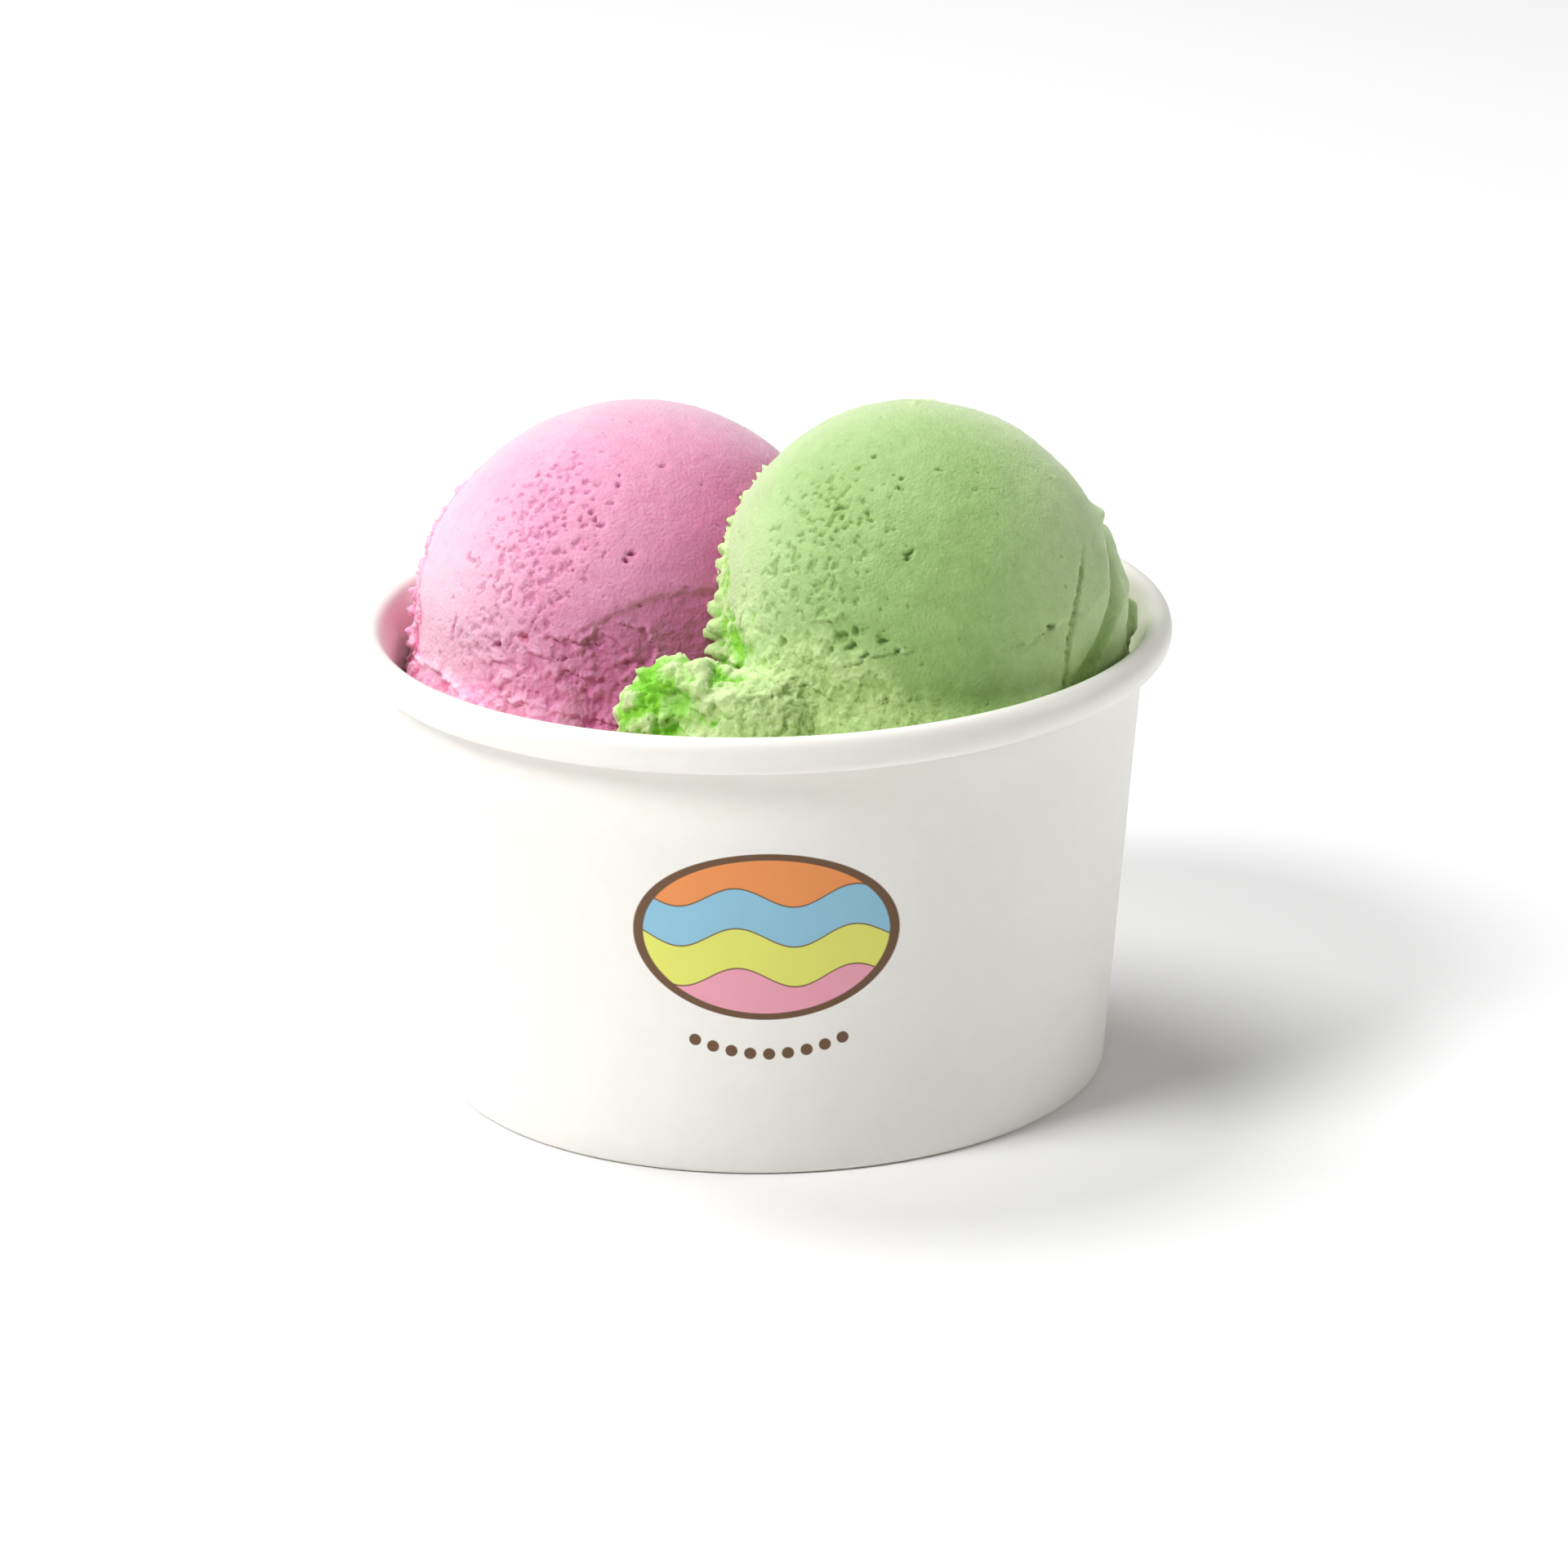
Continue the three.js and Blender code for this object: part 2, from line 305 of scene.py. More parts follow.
# The print: flat inks on the board before it was wrapped. An oval field of four wavy bands
# in a brown outline, and an arc of brown dots below it, all centred on the front.
PRINT_MIDDLE_X = -0.65
PRINT_MIDDLE_Z = 30.0
OVAL_WIDE = 14.8
OVAL_HIGH = 9.9
OUTLINE_HALF = 0.34
WAVE_HEIGHT = 1.2
WAVES_PER_MM = 0.47
LINE_SHARE = 0.012
BAND_INKS = ["#EE9450", "#8FC3DA", "#E3E46A", "#EFA3B4"]
OUTLINE_INK = "#6B4A2C"
DOT_ARC_MIDDLE = 9.0
DOT_ARC_RADIUS = 23.6
DOT_STEP = math.radians(5.4)
DOT_RADIUS = 0.66
DOTS_EACH_SIDE = 4.5
INK_EDGE = 0.12


# Printed cup board: the same board under flat offset inks, which lie below the film and so
# change its colour only, with edges as soft as the ink spreads in the fibre.
def printed_board():
    material, place = new_material("printed_cup_board")
    axes = add(material, "SeparateXYZ", [(0, place)]).outputs
    toward = add(material, "Math", [(0, axes[1]), (1, -1.0)], operation="MULTIPLY")
    turn = add(material, "Math", [(0, axes[0]), (1, toward)], operation="ARCTAN2")
    across = add(material, "Math", [(0, turn), (1, wall_radius(PRINT_MIDDLE_Z)), (2, -PRINT_MIDDLE_X)],
                 operation="MULTIPLY_ADD")
    up = add(material, "Math", [(0, axes[2]), (1, 1 / MM), (2, -PRINT_MIDDLE_Z)], operation="MULTIPLY_ADD")

    # The oval: its distance from the outline, in millimetres, is negative inside.
    spot = add(material, "CombineXYZ", [(0, across), (1, up)])
    squeezed = add(material, "VectorMath", [(0, spot), (1, (1 / OVAL_WIDE, 1 / OVAL_HIGH, 0))],
                   operation="MULTIPLY")
    oval = add(material, "VectorMath", [(0, squeezed)], operation="LENGTH").outputs["Value"]
    outside = add(material, "Math", [(0, oval), (1, OVAL_HIGH), (2, -OVAL_HIGH)], operation="MULTIPLY_ADD")
    field = add(material, "MapRange", [(0, outside)], From_Max=INK_EDGE, To_Min=1.0, To_Max=0.0)
    off_line = add(material, "Math", [(0, outside)], operation="ABSOLUTE")
    outline = add(material, "MapRange", [(0, off_line)], From_Min=OUTLINE_HALF,
                  From_Max=OUTLINE_HALF + INK_EDGE, To_Min=1.0, To_Max=0.0)

    # The wavy bands, with a thin brown line between each two.
    phase = add(material, "Math", [(0, across), (1, WAVES_PER_MM)], operation="MULTIPLY")
    wave = add(material, "Math", [(0, phase)], operation="SINE")
    level = add(material, "Math", [(0, wave), (1, WAVE_HEIGHT), (2, up)], operation="MULTIPLY_ADD")
    band = add(material, "Math", [(0, level), (1, 0.5 / OVAL_HIGH), (2, 0.5)], operation="MULTIPLY_ADD")
    stops = []
    for k, ink in enumerate(reversed(BAND_INKS)):
        stops += [(k / 4 + 0.001, ink), ((k + 1) / 4 - LINE_SHARE, ink)]
        if k < 3:
            stops += [((k + 1) / 4 - 0.008, OUTLINE_INK), ((k + 1) / 4 - 0.003, OUTLINE_INK)]
    bands = add(material, "ValToRGB", [(0, band)], stops)

    # The arc of dots: the nearest dot's middle is dot_x along the arc and dot_y out from it.
    down = add(material, "Math", [(0, DOT_ARC_MIDDLE), (1, up)], operation="SUBTRACT")
    swung = add(material, "Math", [(0, across), (1, down)], operation="ARCTAN2")
    spoke = add(material, "CombineXYZ", [(0, across), (1, down)])
    reach = add(material, "VectorMath", [(0, spoke)], operation="LENGTH").outputs["Value"]
    count = add(material, "Math", [(0, swung), (1, 1 / DOT_STEP), (2, 0.5)], operation="MULTIPLY_ADD")
    part = add(material, "Math", [(0, count)], operation="FRACT")
    spacing = DOT_STEP * DOT_ARC_RADIUS
    dot_x = add(material, "Math", [(0, part), (1, spacing), (2, -spacing / 2)], operation="MULTIPLY_ADD")
    dot_y = add(material, "Math", [(0, reach), (1, DOT_ARC_RADIUS)], operation="SUBTRACT")
    from_dot = add(material, "CombineXYZ", [(0, dot_x), (1, dot_y)])
    away = add(material, "VectorMath", [(0, from_dot)], operation="LENGTH").outputs["Value"]
    all_dots = add(material, "MapRange", [(0, away)], From_Min=DOT_RADIUS, From_Max=DOT_RADIUS + INK_EDGE,
                   To_Min=1.0, To_Max=0.0)
    to_side = add(material, "Math", [(0, swung)], operation="ABSOLUTE")
    in_arc = add(material, "Math", [(0, to_side), (1, DOT_STEP * DOTS_EACH_SIDE)], operation="LESS_THAN")
    dots = add(material, "Math", [(0, all_dots), (1, in_arc)], operation="MULTIPLY")

    front = add(material, "Math", [(0, axes[1]), (1, 0.0)], operation="LESS_THAN")
    colour = bare_board(material, place)
    for mask, ink in ((field, bands), (outline, srgb(OUTLINE_INK)), (dots, srgb(OUTLINE_INK))):
        inked = add(material, "Math", [(0, mask), (1, front)], operation="MULTIPLY")
        colour = add(material, "Mix", [(0, inked), (6, colour), (7, ink)], data_type="RGBA").outputs[2]
    board_finish(material, place, colour)
    return material


finish(sidewall, printed_board(), "cup_sidewall")

# Green scoop. Frozen milk and sugar foam, pushed into the cup with a round scooping tool.
# The tool leaves a dome with small torn air holes, a ragged edge at its left, two upright
# drag grooves at its right, and a crumbly tongue squeezed out at the front left.
GREEN_RISE = 25.6
GREEN_RADIUS = 23.8
GREEN_MIDDLE = Vector((17.4, -10.0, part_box("scoop_green")[1].z / MM - GREEN_RISE))
PINK_RISE = 27.0
PINK_RADIUS = 26.5
PINK_MIDDLE = Vector((-15.0, 8.0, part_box("scoop_pink")[1].z / MM - PINK_RISE))
FILL_LEVEL = 43.5
FOOT_LEVEL = FILL_LEVEL - 3
BURIED_LEVEL = FILL_LEVEL - 6
FILL_FOOT = base_top + GAP
COARSE_GRID = 0.7
FINE_GRID = 0.25
HIDDEN_BELOW = 41.0
MOST_TRIANGLES = 190000
UNEVENNESS = ((0.25, 11), (0.10, 3.5), (0.06, 1.3), (0.05, 0.65))
HOLE_DEPTH = 0.36
SEAM_DEPTH = 0.20


def lattice(points, grain, seed):
    """The lattice cell of each point, its place in the cell, and a seeded shuffle of 256."""
    rng = np.random.default_rng(seed)
    scaled = points / grain + rng.uniform(0, 50, 3)
    cell = np.floor(scaled).astype(int)
    return cell, scaled - cell, rng.permutation(256), rng


def shuffled(cell, order):
    """The seeded number, below 256, that belongs to each cell."""
    return order[(cell[:, 0] + order[(cell[:, 1] + order[cell[:, 2] & 255]) & 255]) & 255]


def noise(points, grain, seed):
    """Smooth noise from about -1 to 1, with one hill or dip each grain millimetres."""
    cell, part, order, rng = lattice(points, grain, seed)
    slopes = rng.normal(size=(256, 3))
    slopes /= np.linalg.norm(slopes, axis=1)[:, None]
    fade = part ** 3 * (part * (part * 6 - 15) + 10)
    total = np.zeros(len(points))
    for corner in np.ndindex(2, 2, 2):
        corner = np.array(corner)
        slope = slopes[shuffled(cell + corner, order)]
        weight = np.prod(np.where(corner == 1, fade, 1 - fade), axis=1)
        total += weight * np.einsum("ij,ij->i", slope, part - corner)
    return total * 1.6


def crumbs(points, grain, seed):
    """Distance to the nearest of seeds scattered a grain apart, and that seed's random number."""
    cell, part, order, rng = lattice(points, grain, seed)
    spots = rng.uniform(0, 1, (256, 3))
    values = rng.uniform(0, 1, 256)
    nearest = np.full(len(points), 9.0)
    value = np.zeros(len(points))
    for shift in np.ndindex(3, 3, 3):
        shift = np.array(shift) - 1
        which = shuffled(cell + shift, order)
        distance = np.linalg.norm(spots[which] + shift - part, axis=1)
        closer = distance < nearest
        nearest = np.where(closer, distance, nearest)
        value = np.where(closer, values[which], value)
    return nearest, value


def bent(points, grain, amount, seed):
    """The points shifted about by noise, to make what is drawn on them irregular."""
    return points + amount * np.stack([noise(points, grain, seed + k) for k in range(3)], axis=1)


def ridges(points, grain, seed):
    """Sharp torn ridges with rounded valleys between, from about -1 to 1."""
    total = np.zeros(len(points))
    for share, size in ((0.42, 1.0), (0.34, 0.5), (0.24, 0.28)):
        total += share * (1 - 2.6 * np.abs(noise(points, grain * size, seed)))
        seed += 1
    return total


def flakes(points, grain, seed):
    """Broken chips with sharp steps between them, each a grain wide, from about -1 to 1."""
    distance, value = crumbs(bent(points, grain * 0.6, grain * 0.35, seed), grain, seed + 3)
    return 2 * value - 0.7 - 0.6 * distance


def uneven(points, seed):
    """The lift of a scoop's swells, from broad to small."""
    return sum(depth * noise(points, grain, seed + k) for k, (depth, grain) in enumerate(UNEVENNESS))


def smooth(value, low, high):
    """0 up to low and 1 from high, with an eased slope between."""
    part = np.clip((value - low) / (high - low), 0, 1)
    return part * part * (3 - 2 * part)


def bell(value, middle, width):
    """1 at the middle, falling to 0 a few widths away."""
    return np.exp(-((value - middle) / width) ** 2)


def add_ball(form, middle, size, steps=4):
    """A closed ball with half-axes size."""
    place = Matrix.Translation(middle) @ Matrix.Diagonal((*size, 1))
    bmesh.ops.create_icosphere(form, subdivisions=steps, radius=1, matrix=place)


def add_drum(form, middle, low, high, low_radius, high_radius):
    """A closed upright drum from height low to high."""
    place = Matrix.Translation((middle[0], middle[1], (low + high) / 2))
    return bmesh.ops.create_cone(form, cap_ends=True, segments=96, radius1=low_radius,
                                 radius2=high_radius, depth=high - low, matrix=place)["verts"]


between = (GREEN_MIDDLE - PINK_MIDDLE).normalized()
apart = (GREEN_MIDDLE - PINK_MIDDLE).length
crossing = (apart ** 2 + PINK_RADIUS ** 2 - GREEN_RADIUS ** 2) / (2 * apart)
meeting = PINK_MIDDLE + between * crossing


def add_fill(form, side):
    """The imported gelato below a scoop: its side of the cup, up to the fill's level."""
    low_radius = wall_radius(FILL_FOOT) - PAPER - GAP
    high_radius = wall_radius(FILL_LEVEL) - PAPER - GAP
    verts = add_drum(form, (0, 0), FILL_FOOT, FILL_LEVEL, low_radius, high_radius)
    edges = list({e for v in verts for e in v.link_edges})
    faces = list({f for v in verts for f in v.link_faces})
    joint = meeting + between * side * GAP / 2
    cut = bmesh.ops.bisect_plane(form, geom=verts + edges + faces, plane_co=joint, plane_no=between,
                                 clear_outer=side < 0, clear_inner=side > 0)
    rim = [e for e in cut["geom_cut"] if isinstance(e, bmesh.types.BMEdge)]
    bmesh.ops.contextual_create(form, geom=rim)


def evaluated(piece):
    """The piece's mesh with its modifiers applied, and the modifiers gone."""
    graph = bpy.context.evaluated_depsgraph_get()
    mesh = bpy.data.meshes.new_from_object(piece.evaluated_get(graph))
    old = piece.data
    piece.modifiers.clear()
    piece.data = mesh
    bpy.data.meshes.remove(old)
    return mesh


def points_of(mesh):
    flat = np.empty(len(mesh.vertices) * 3)
    mesh.vertices.foreach_get("co", flat)
    return flat.reshape(-1, 3)


def normals_of(mesh):
    flat = np.empty(len(mesh.vertices) * 3)
    mesh.vertex_normals.foreach_get("vector", flat)
    return flat.reshape(-1, 3)


def melt_together(form, name):
    """Joins overlapping closed shapes into one even skin, with small facets where it shows."""
    bmesh.ops.recalc_face_normals(form, faces=form.faces)
    piece = new_piece(form, name)
    for kind, size in (("REMESH", COARSE_GRID), ("SMOOTH", 8), ("REMESH", FINE_GRID), ("SMOOTH", 5)):
        step = piece.modifiers.new(kind.lower(), kind)
        if kind == "REMESH":
            step.mode = "VOXEL"
            step.voxel_size = size
        else:
            step.factor = 0.5
            step.iterations = size
    mesh = evaluated(piece)
    group = piece.vertex_groups.new(name="hidden")
    heights = points_of(mesh)[:, 2]
    hidden = np.flatnonzero(heights < HIDDEN_BELOW)
    group.add([int(k) for k in hidden], 1.0, "REPLACE")
    thin = piece.modifiers.new("thin", "DECIMATE")
    thin.ratio = 1 - 0.95 * len(hidden) / len(heights)
    thin.vertex_group = "hidden"
    thin.vertex_group_factor = 10.0
    mesh = evaluated(piece)
    piece.vertex_groups.clear()
    return piece, mesh


def turn_and_height(points, middle):
    """Where points lie round a scoop: degrees round its middle, and height above it."""
    away = points - np.array(middle)
    return np.degrees(np.arctan2(away[:, 1], away[:, 0])), away[:, 2]


def turn_gap(turn, at):
    """Degrees from one direction to another, the short way round."""
    return (turn - at + 180) % 360 - 180


def spots(points, middle, radius, rise, places, seed):
    """Single holes and slits: each place is its turn and height on the dome, its half width
    and half height, its depth, and its lean in degrees. Gives the depth at every point."""
    depth = np.zeros(len(points))
    loose = bent(points, 0.8, 0.34, seed)
    for at_turn, at_height, half_width, half_height, deep, lean in places:
        around = math.radians(at_turn)
        up = math.asin(max(-1, min(1, at_height / rise)))
        out = Vector((math.cos(around) * math.cos(up), math.sin(around) * math.cos(up), math.sin(up)))
        place = np.array(middle) + np.array(out) * (radius, radius, rise)
        if at_height < 0:
            foot = radius * (1 - 0.005 * at_height)
            out = Vector((math.cos(around), math.sin(around), 0))
            place = np.array(middle) + (out.x * foot, out.y * foot, at_height)
        side = Vector((-math.sin(around), math.cos(around), 0))
        side = Quaternion(out, math.radians(lean)) @ side
        over = out.cross(side)
        away = loose - place
        distance = np.hypot(away @ np.array(side) / half_width, away @ np.array(over) / half_height)
        near = np.linalg.norm(away, axis=1) < max(half_width, half_height) * 2 + 2
        depth = np.maximum(depth, near * deep * (1 - smooth(distance, 0.3, 1.15)))
    return depth


def nubs(edge_at, low, high, longest, seed):
    """Places for the ragged edge's nubs, as for single holes: larger towards the foot."""
    rng = np.random.default_rng(seed)
    places = []
    height = low
    while height < high:
        grown = 1 - 0.6 * smooth(height, low, high)
        wide = grown * rng.uniform(0.7, 1.5)
        at = edge_at(height) + rng.uniform(-2.0, 3.5)
        length = longest * grown * rng.uniform(0.35, 1.0)
        places.append((at, height, wide * 1.2, wide, length, rng.uniform(-40, 40)))
        height += wide * rng.uniform(1.2, 2.6)
    return places


def pitting(points, density, seed):
    """Torn air holes, from 0 to 1 deep, more and larger where the density is near 1."""
    loose = bent(points, 0.7, 0.42, seed)
    dents = smooth(noise(loose * (1, 1, 0.8), 0.85, seed + 3) - 0.90 + 0.80 * density, 0.0, 0.22)
    distance, value = crumbs(loose, 1.25, seed + 4)
    holes = smooth(0.17 + 0.16 * value - distance, 0.0, 0.12) * (value < 0.85 * density)
    return np.maximum(dents * 0.8, holes)


def limb(height, rise, facing):
    """The direction, in degrees, of the ragged edge that the tool leaves on a dome's left."""
    part = np.clip(height / rise, 0, 0.93)
    return facing + np.degrees(np.arccos(np.clip(0.34 * part / np.sqrt(1 - part ** 2), -1, 1)))


def meeting_edge(height):
    """The direction, in degrees from the green scoop's middle, of the front edge where it
    comes out of the pink one."""
    size = math.sqrt(PINK_RADIUS ** 2 - crossing ** 2)
    forward = Vector((between.y, -between.x, 0)).normalized()
    upward = forward.cross(between)
    upward *= math.copysign(1, upward.z)
    sine = np.clip((height + GREEN_MIDDLE.z - meeting.z) / (size * upward.z), -0.4, 1)
    cosine = np.sqrt(1 - sine ** 2)
    x = meeting.x + size * (cosine * forward.x + sine * upward.x) - GREEN_MIDDLE.x
    y = meeting.y + size * (cosine * forward.y + sine * upward.y) - GREEN_MIDDLE.y
    return np.degrees(np.arctan2(y, x)) % 360


def ledges(points, turn, height, radius, paths, seed):
    """Torn ledges: along each path of (turn, height) the skin stands proud by a rise, and is
    cut back just below it. The two lengths say how far it fades above and below."""
    total = np.zeros(len(points))
    wander = 0.5 * noise(points, 1.6, seed) + 0.3 * noise(points, 0.6, seed + 1)
    for rise, above, below, path in paths:
        middle = path[len(path) // 2][0]
        across = np.radians(turn_gap(turn, middle)) * radius
        up = height + wander
        best = np.full(len(points), 99.0)
        side = np.zeros(len(points))
        for (turn_a, height_a), (turn_b, height_b) in zip(path, path[1:]):
            start = np.array((math.radians(turn_gap(turn_a, middle)) * radius, height_a))
            step = np.array((math.radians(turn_gap(turn_b, middle)) * radius, height_b)) - start
            part = ((across - start[0]) * step[0] + (up - start[1]) * step[1]) / (step @ step)
            part = np.clip(part, 0, 1)
            off_x = across - start[0] - part * step[0]
            off_y = up - start[1] - part * step[1]
            distance = np.hypot(off_x, off_y)
            closer = distance < best
            best = np.where(closer, distance, best)
            side = np.where(closer, step[0] * off_y - step[1] * off_x, side)
        on_top = smooth(np.sign(side) * best, -0.12, 0.12)
        total += rise * 0.75 * on_top * np.exp(-best / above)
        total -= rise * 0.5 * (1 - on_top) * np.exp(-best / below)
    return total * (0.45 + 0.55 * smooth(noise(points, 2.2, seed + 2), -0.35, 0.15))


def press_into_cup(points):
    """Moves what would pass through the wall or the rim back inside them."""
    room = wall_radius(np.minimum(points[:, 2], NECK)) - PAPER - GAP + 0.1
    radius = np.hypot(points[:, 0], points[:, 1])
    points[:, :2] *= np.minimum(1, room / np.maximum(radius, 1e-6))[:, None]
    return points


def painted_side_highlight(normals):
    """Where a pale highlight is painted on the skin: round the side turned from the front, and on both
    sides.
    """
    round_top = bell(normals @ np.array((0.0, -0.95, 0.31)), 0, 0.42)
    left = smooth(-normals[:, 0], 0.35, 0.95)
    right = smooth(normals[:, 0], 0.25, 0.85)
    return np.maximum(np.maximum(0.92 * round_top, 0.60 * left), 0.45 * right)


def waver(points):
    """Moves both fills alike near the joint between them, so that it wanders."""
    off = (points - np.array(meeting)) @ np.array(between)
    level = np.stack([points[:, 0], points[:, 1], np.zeros(len(points))], axis=1)
    sway = (2.2 * noise(level, 12, 91) + 0.9 * noise(level, 4, 92)) * bell(off, 0, 5)
    sway *= 1 - smooth(points[:, 2], FILL_LEVEL, FILL_LEVEL + 4)
    return points + sway[:, None] * np.array(between)


def settle(piece, mesh, points, shades):
    """Writes the moved points and the shading attributes, and thins the skin where it is plain."""
    mesh.vertices.foreach_set("co", points.ravel())
    for name, values in shades.items():
        attribute = mesh.attributes.new(name, "FLOAT", "POINT")
        attribute.data.foreach_set("value", np.clip(values, 0, 1).astype(np.float32))
    mesh.update()
    mesh.calc_loop_triangles()
    thin = piece.modifiers.new("thin", "DECIMATE")
    thin.ratio = MOST_TRIANGLES / len(mesh.loop_triangles)
    evaluated(piece)


# Gelato: a frozen foam of milk, sugar and fine air, churned and scooped, with an IOR near that
# of ice. Light sinks into it; a painted shade gives its hollows a fuller, darker colour, a
# painted glow lights its crevices, torn parts are paler, a painted highlight pales its sides and
# a faint sheen lies over the skin. Ice crystals of 0.05 mm are too fine to show, so they are
# drawn as granules of about 0.4 mm.
GELATO_CLOUD = 1000 / 480
FROST_PATCH = 1000 / 1700
GRANULE = 1000 / 2300
GRIT = 1000 / 3100
GRAIN_HEIGHT = 0.0002


def gelato(name, body, pale, painted_highlight, frosty, deep, lit, radius):
    """Each attribute of the piece blends its own colour over the body, most strongly last: the painted
    highlight, the torn parts, the painted glow in the lit colour and the painted shade in the deep colour.
    """
    material, place = new_material(name)
    clouds = add(material, "TexNoise", [("Vector", place)], Scale=per_metre(GELATO_CLOUD), Detail=6.0,
                 Roughness=0.65)
    colour = add(material, "ValToRGB", [(0, clouds)], [(0.3, body), (0.8, pale)])
    frosted = add(material, "TexNoise", [("Vector", place)], Scale=per_metre(FROST_PATCH), Detail=3.0)
    frost = add(material, "MapRange", [(0, frosted)], From_Min=0.50, From_Max=0.68, To_Max=0.40)
    masks = [(frost, pale, 1.0)]
    shades = (("painted_highlight", painted_highlight, 0.7), ("torn", frosty, 0.5), ("painted_glow", lit, 0.94), ("painted_shade", deep, 0.8))
    for attribute, code, strength in shades:
        mask = add(material, "Attribute", attribute_name=attribute).outputs["Fac"]
        masks.append((mask, code, strength))
    for mask, code, strength in masks:
        part = add(material, "Math", [(0, mask), (1, strength)], operation="MULTIPLY")
        blend = add(material, "Mix", [(0, part), (6, colour), (7, srgb(code))], data_type="RGBA")
        colour = blend.outputs[2]
    granules = add(material, "TexVoronoi", [("Vector", place)], feature="SMOOTH_F1",
                   Scale=per_metre(GRANULE), Smoothness=0.4)
    grit = add(material, "TexNoise", [("Vector", place)], Scale=per_metre(GRIT), Detail=4.0, Roughness=0.65)
    rounded = add(material, "Bump", [("Height", granules)], invert=True, Strength=0.4,
                  Distance=GRAIN_HEIGHT)
    fine = add(material, "Bump", [("Height", grit), ("Normal", rounded)], Strength=0.55,
               Distance=GRAIN_HEIGHT)
    foam = add(material, "BsdfPrincipled", [("Base Color", colour), ("Normal", fine)], Roughness=0.55,
               IOR=1.33, Subsurface_Weight=0.4, Subsurface_Radius=radius, Subsurface_Scale=0.0009,
               Sheen_Weight=0.3, Sheen_Roughness=0.4)
    add(material, "OutputMaterial", [("Surface", foam)])
    return material


# Lumps of the green scoop, as middle and half-size: the tongue at the front left, from its
# root up to its tip, then the ridge and the chip at the right.
GREEN_LUMPS = [
    ((-10, -27, 44), (8, 6, 7)),
    ((-12.6, -26, 50.8), (4.6, 4.6, 5.6)),
    ((-7, -27, 53), (4.6, 4.6, 5)),
    ((-10.8, -25.5, 54.4), (4.2, 3.8, 3.2)),
    ((-1, -29.5, 50), (7, 5, 7)),
    ((37.8, -3, 52), (4.2, 11, 11)),
    ((42.0, -4.6, 55.0), (1.9, 2.4, 2.3)),
]
# Its larger holes and slits, each as turn, height, half width, half height, depth and lean.
GREEN_SPOTS = [
    (-97, 21.2, 0.30, 0.35, 0.5, 0), (-97, 20.3, 0.30, 0.50, 0.6, 0), (-77, 21.8, 0.75, 0.25, 0.4, 0),
    (-63, 19.8, 0.50, 0.22, 0.35, 0), (-93, 14.3, 0.85, 0.30, 0.7, 25), (-93.6, 13.7, 0.35, 0.55, 0.8, 10),
    (-116, 22.8, 0.45, 0.30, 0.5, 0), (-148, 17.5, 0.35, 0.60, 0.6, -20), (-149, 3.9, 0.25, 1.45, 1.0, -6),
    (-131, 3.5, 0.50, 0.70, 0.9, 0), (-121, 18.2, 0.80, 0.30, 0.6, 20), (-119, 17.4, 0.30, 0.60, 0.6, 0),
    (-109, 17.9, 0.30, 0.75, 0.6, 10), (-107, 17.3, 0.60, 0.25, 0.5, 0), (-112, 5.0, 0.80, 0.90, 1.0, 0),
    (-109, 4.0, 0.90, 0.55, 0.9, 15), (-108, 5.9, 0.50, 0.70, 0.8, 0), (-115, 3.6, 0.40, 0.40, 0.7, 0),
    (-100, 4.9, 0.85, 0.36, 0.8, 16), (-96, 4.0, 0.60, 0.30, 0.6, -12), (-105, 3.2, 0.60, 0.35, 0.9, 0),
    (-50, 4.6, 0.65, 0.45, 0.8, 0), (-53, 4.2, 1.40, 0.14, 0.35, 4), (-151, -3.1, 1.90, 1.80, 1.0, 0),
    (-138, 10.6, 0.35, 0.80, 0.6, -10),
]

# Its torn ledges: rise, fade above and below, and the path from left to right.
GREEN_LEDGES = [
    (0.80, 1.6, 1.4, [(-166, -1.2), (-152, -0.8), (-142, -1.8), (-135, -3.0)]),
    (0.35, 1.2, 0.7, [(-121, 6.3), (-114, 7.2)]),
    (0.50, 1.0, 0.8, [(-108, 2.4), (-101, 3.4), (-95, 3.8)]),
    (0.30, 1.4, 0.7, [(-62, 3.4), (-53, 3.9), (-45, 4.8)]),
    (0.50, 1.0, 0.9, [(-128, -1.5), (-121, -0.6), (-115, -2.0)]),
    (0.45, 0.9, 0.8, [(-128, 2.6), (-123, 1.8), (-118, 1.8)]),
]
GREEN_FACING = 88.8
TONGUE_CAVITY = (-10.4, -31.5, 53.6)
LOBE_FLAKE = (38.4, -8.5, 68.6)

GREEN_LOOK = gelato("pistachio_gelato", body="#94B66C", pale="#AACB84", painted_highlight="#E9FBCB", frosty="#D6EEA2",
                    deep="#7FA545", lit="#84D428", radius=(0.55, 1.0, 0.35))

form = bmesh.new()
add_ball(form, GREEN_MIDDLE, (GREEN_RADIUS, GREEN_RADIUS, GREEN_RISE), 6)
add_drum(form, GREEN_MIDDLE, FOOT_LEVEL, GREEN_MIDDLE.z - 4, GREEN_RADIUS * 1.08, GREEN_RADIUS * 1.03)
for lump_middle, lump_size in GREEN_LUMPS:
    add_ball(form, lump_middle, lump_size)
add_fill(form, 1)
green, mesh = melt_together(form, "green_gelato_scoop")
points, normals = points_of(mesh), normals_of(mesh)
turn, height = turn_and_height(points, GREEN_MIDDLE)
shown = smooth(points[:, 2], HIDDEN_BELOW, HIDDEN_BELOW + 1.5)

# Where it is torn: all round the foot, higher at the front left, and the whole tongue.
edge = -5 + 10 * bell(turn_gap(turn, -120), 0, 26) + 3 * bell(turn_gap(turn, -22), 0, 12)
edge += 1.8 * noise(points, 4, 21)
torn = smooth(edge - height, -2.5, 1.5)
tongue = smooth(-np.hypot((points[:, 0] + 9.5) / 8.5, (points[:, 1] + 27) / 7.5), -1.2, -0.9)
torn = np.maximum(torn, tongue)


